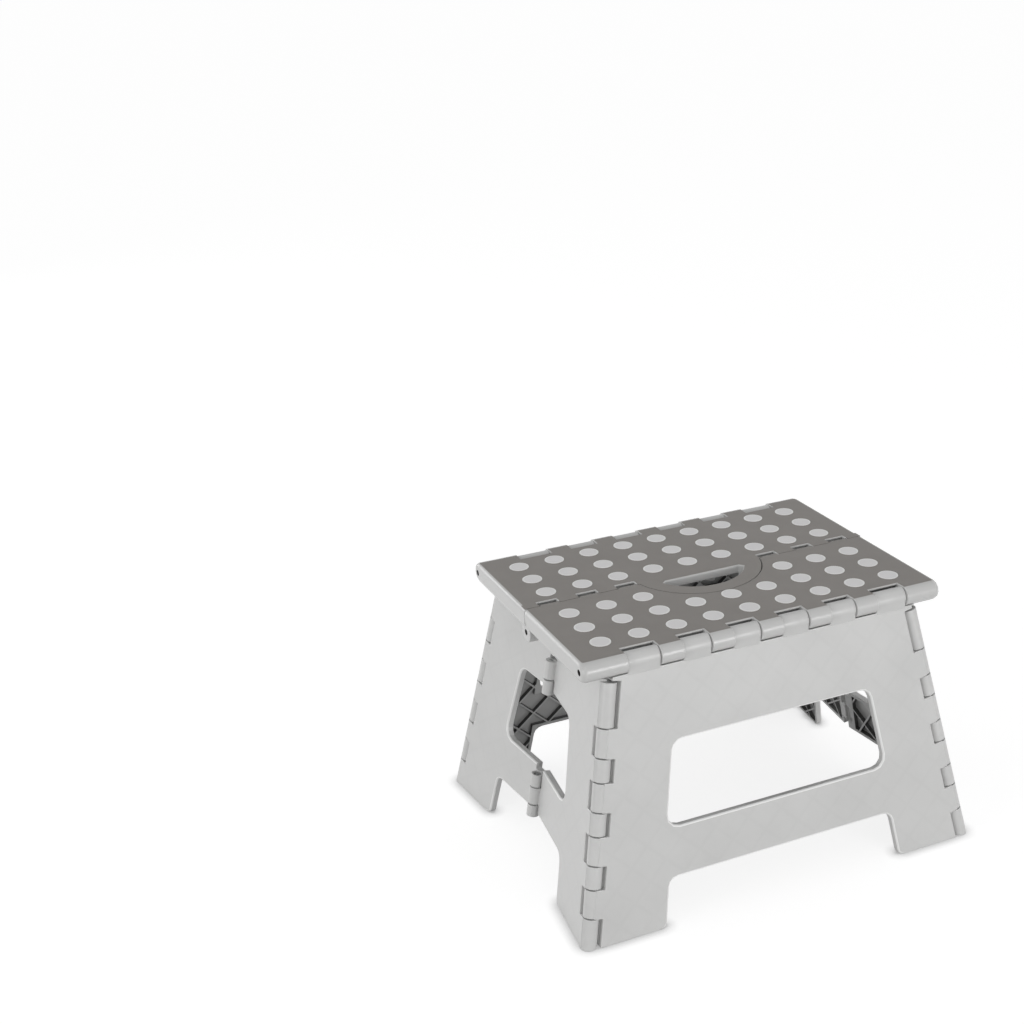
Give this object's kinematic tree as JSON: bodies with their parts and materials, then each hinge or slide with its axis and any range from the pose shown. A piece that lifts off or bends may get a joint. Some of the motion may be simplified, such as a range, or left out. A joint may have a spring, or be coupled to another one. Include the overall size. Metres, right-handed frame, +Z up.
{
  "type": "folding step stool",
  "caption": "Folding step stool of moulded plastic with a dotted split top, a hand slot, windowed leg panels and side leaves that fold inwards between them.",
  "frame": {"origin": "centre of the footprint, on the floor", "axes": "+Z up, +X along the long side of the top, -Y towards the half of the top that the hand slot's tab reaches into"},
  "size_m": [0.3426, 0.2766, 0.2155],
  "materials": {
    "light_grey_plastic": "fine satin texture",
    "taupe_plastic": "fine satin texture",
    "steel_wire": "drawn wire"
  },
  "bodies": {
    "front_panel": {"front_panel": "light_grey_plastic", "front_left_corner_pin": "steel_wire", "front_right_corner_pin": "steel_wire"},
    "front_top": {"front_top": "taupe_plastic", "front_edge_pin": "steel_wire"},
    "rear_top": {"rear_top": "taupe_plastic", "rear_edge_pin": "steel_wire", "left_centre_pin": "steel_wire", "right_centre_pin": "steel_wire"},
    "rear_panel": {"rear_panel": "light_grey_plastic", "rear_left_corner_pin": "steel_wire", "rear_right_corner_pin": "steel_wire"},
    "left_front_leaf": {"left_front_leaf": "light_grey_plastic", "left_upper_side_pin": "steel_wire", "left_lower_side_pin": "steel_wire"},
    "left_rear_leaf": {"left_rear_leaf": "light_grey_plastic"},
    "right_front_leaf": {"right_front_leaf": "light_grey_plastic"},
    "right_rear_leaf": {"right_rear_leaf": "light_grey_plastic", "right_upper_side_pin": "steel_wire", "right_lower_side_pin": "steel_wire"}
  },
  "joints": [
    {"name": "front_top_fold", "type": "hinge", "parent": "front_panel", "child": "front_top", "pos_m": [0, -0.0995, 0.207], "axis": [1, 0, 0], "range_deg": [0, 80.34]},
    {"name": "centre_fold", "type": "hinge", "parent": "front_top", "child": "rear_top", "pos_m": [0, 0, 0.1961], "axis": [-1, 0, 0], "range_deg": [0, 180]},
    {"name": "rear_panel_fold", "type": "hinge", "parent": "rear_top", "child": "rear_panel", "pos_m": [0, 0.0995, 0.207], "axis": [1, 0, 0], "range_deg": [0, 80.34]},
    {"name": "left_front_leaf_fold", "type": "hinge", "parent": "front_panel", "child": "left_front_leaf", "pos_m": [-0.165, -0.132, 0], "axis": [-0.1888, -0.1648, -0.9681], "range_deg": [0, 85.63]},
    {"name": "right_front_leaf_fold", "type": "hinge", "parent": "front_panel", "child": "right_front_leaf", "pos_m": [0.165, -0.132, 0], "axis": [-0.1888, 0.1648, 0.9681], "range_deg": [0, 85.63]},
    {"name": "left_rear_leaf_fold", "type": "hinge", "parent": "rear_panel", "child": "left_rear_leaf", "pos_m": [-0.165, 0.132, 0], "axis": [0.1888, -0.1648, 0.9681], "range_deg": [0, 85.63]},
    {"name": "right_rear_leaf_fold", "type": "hinge", "parent": "rear_panel", "child": "right_rear_leaf", "pos_m": [0.165, 0.132, 0], "axis": [0.1888, 0.1648, -0.9681], "range_deg": [0, 85.63]}
  ],
  "couplings": [
    {"joint": "centre_fold", "follows": "front_top_fold", "ratio": 2.2405},
    {"joint": "rear_panel_fold", "follows": "front_top_fold", "ratio": 1},
    {"joint": "left_front_leaf_fold", "follows": "front_top_fold", "ratio": 1.0659},
    {"joint": "right_front_leaf_fold", "follows": "front_top_fold", "ratio": 1.0659},
    {"joint": "left_rear_leaf_fold", "follows": "front_top_fold", "ratio": 1.0659},
    {"joint": "right_rear_leaf_fold", "follows": "front_top_fold", "ratio": 1.0659}
  ]
}
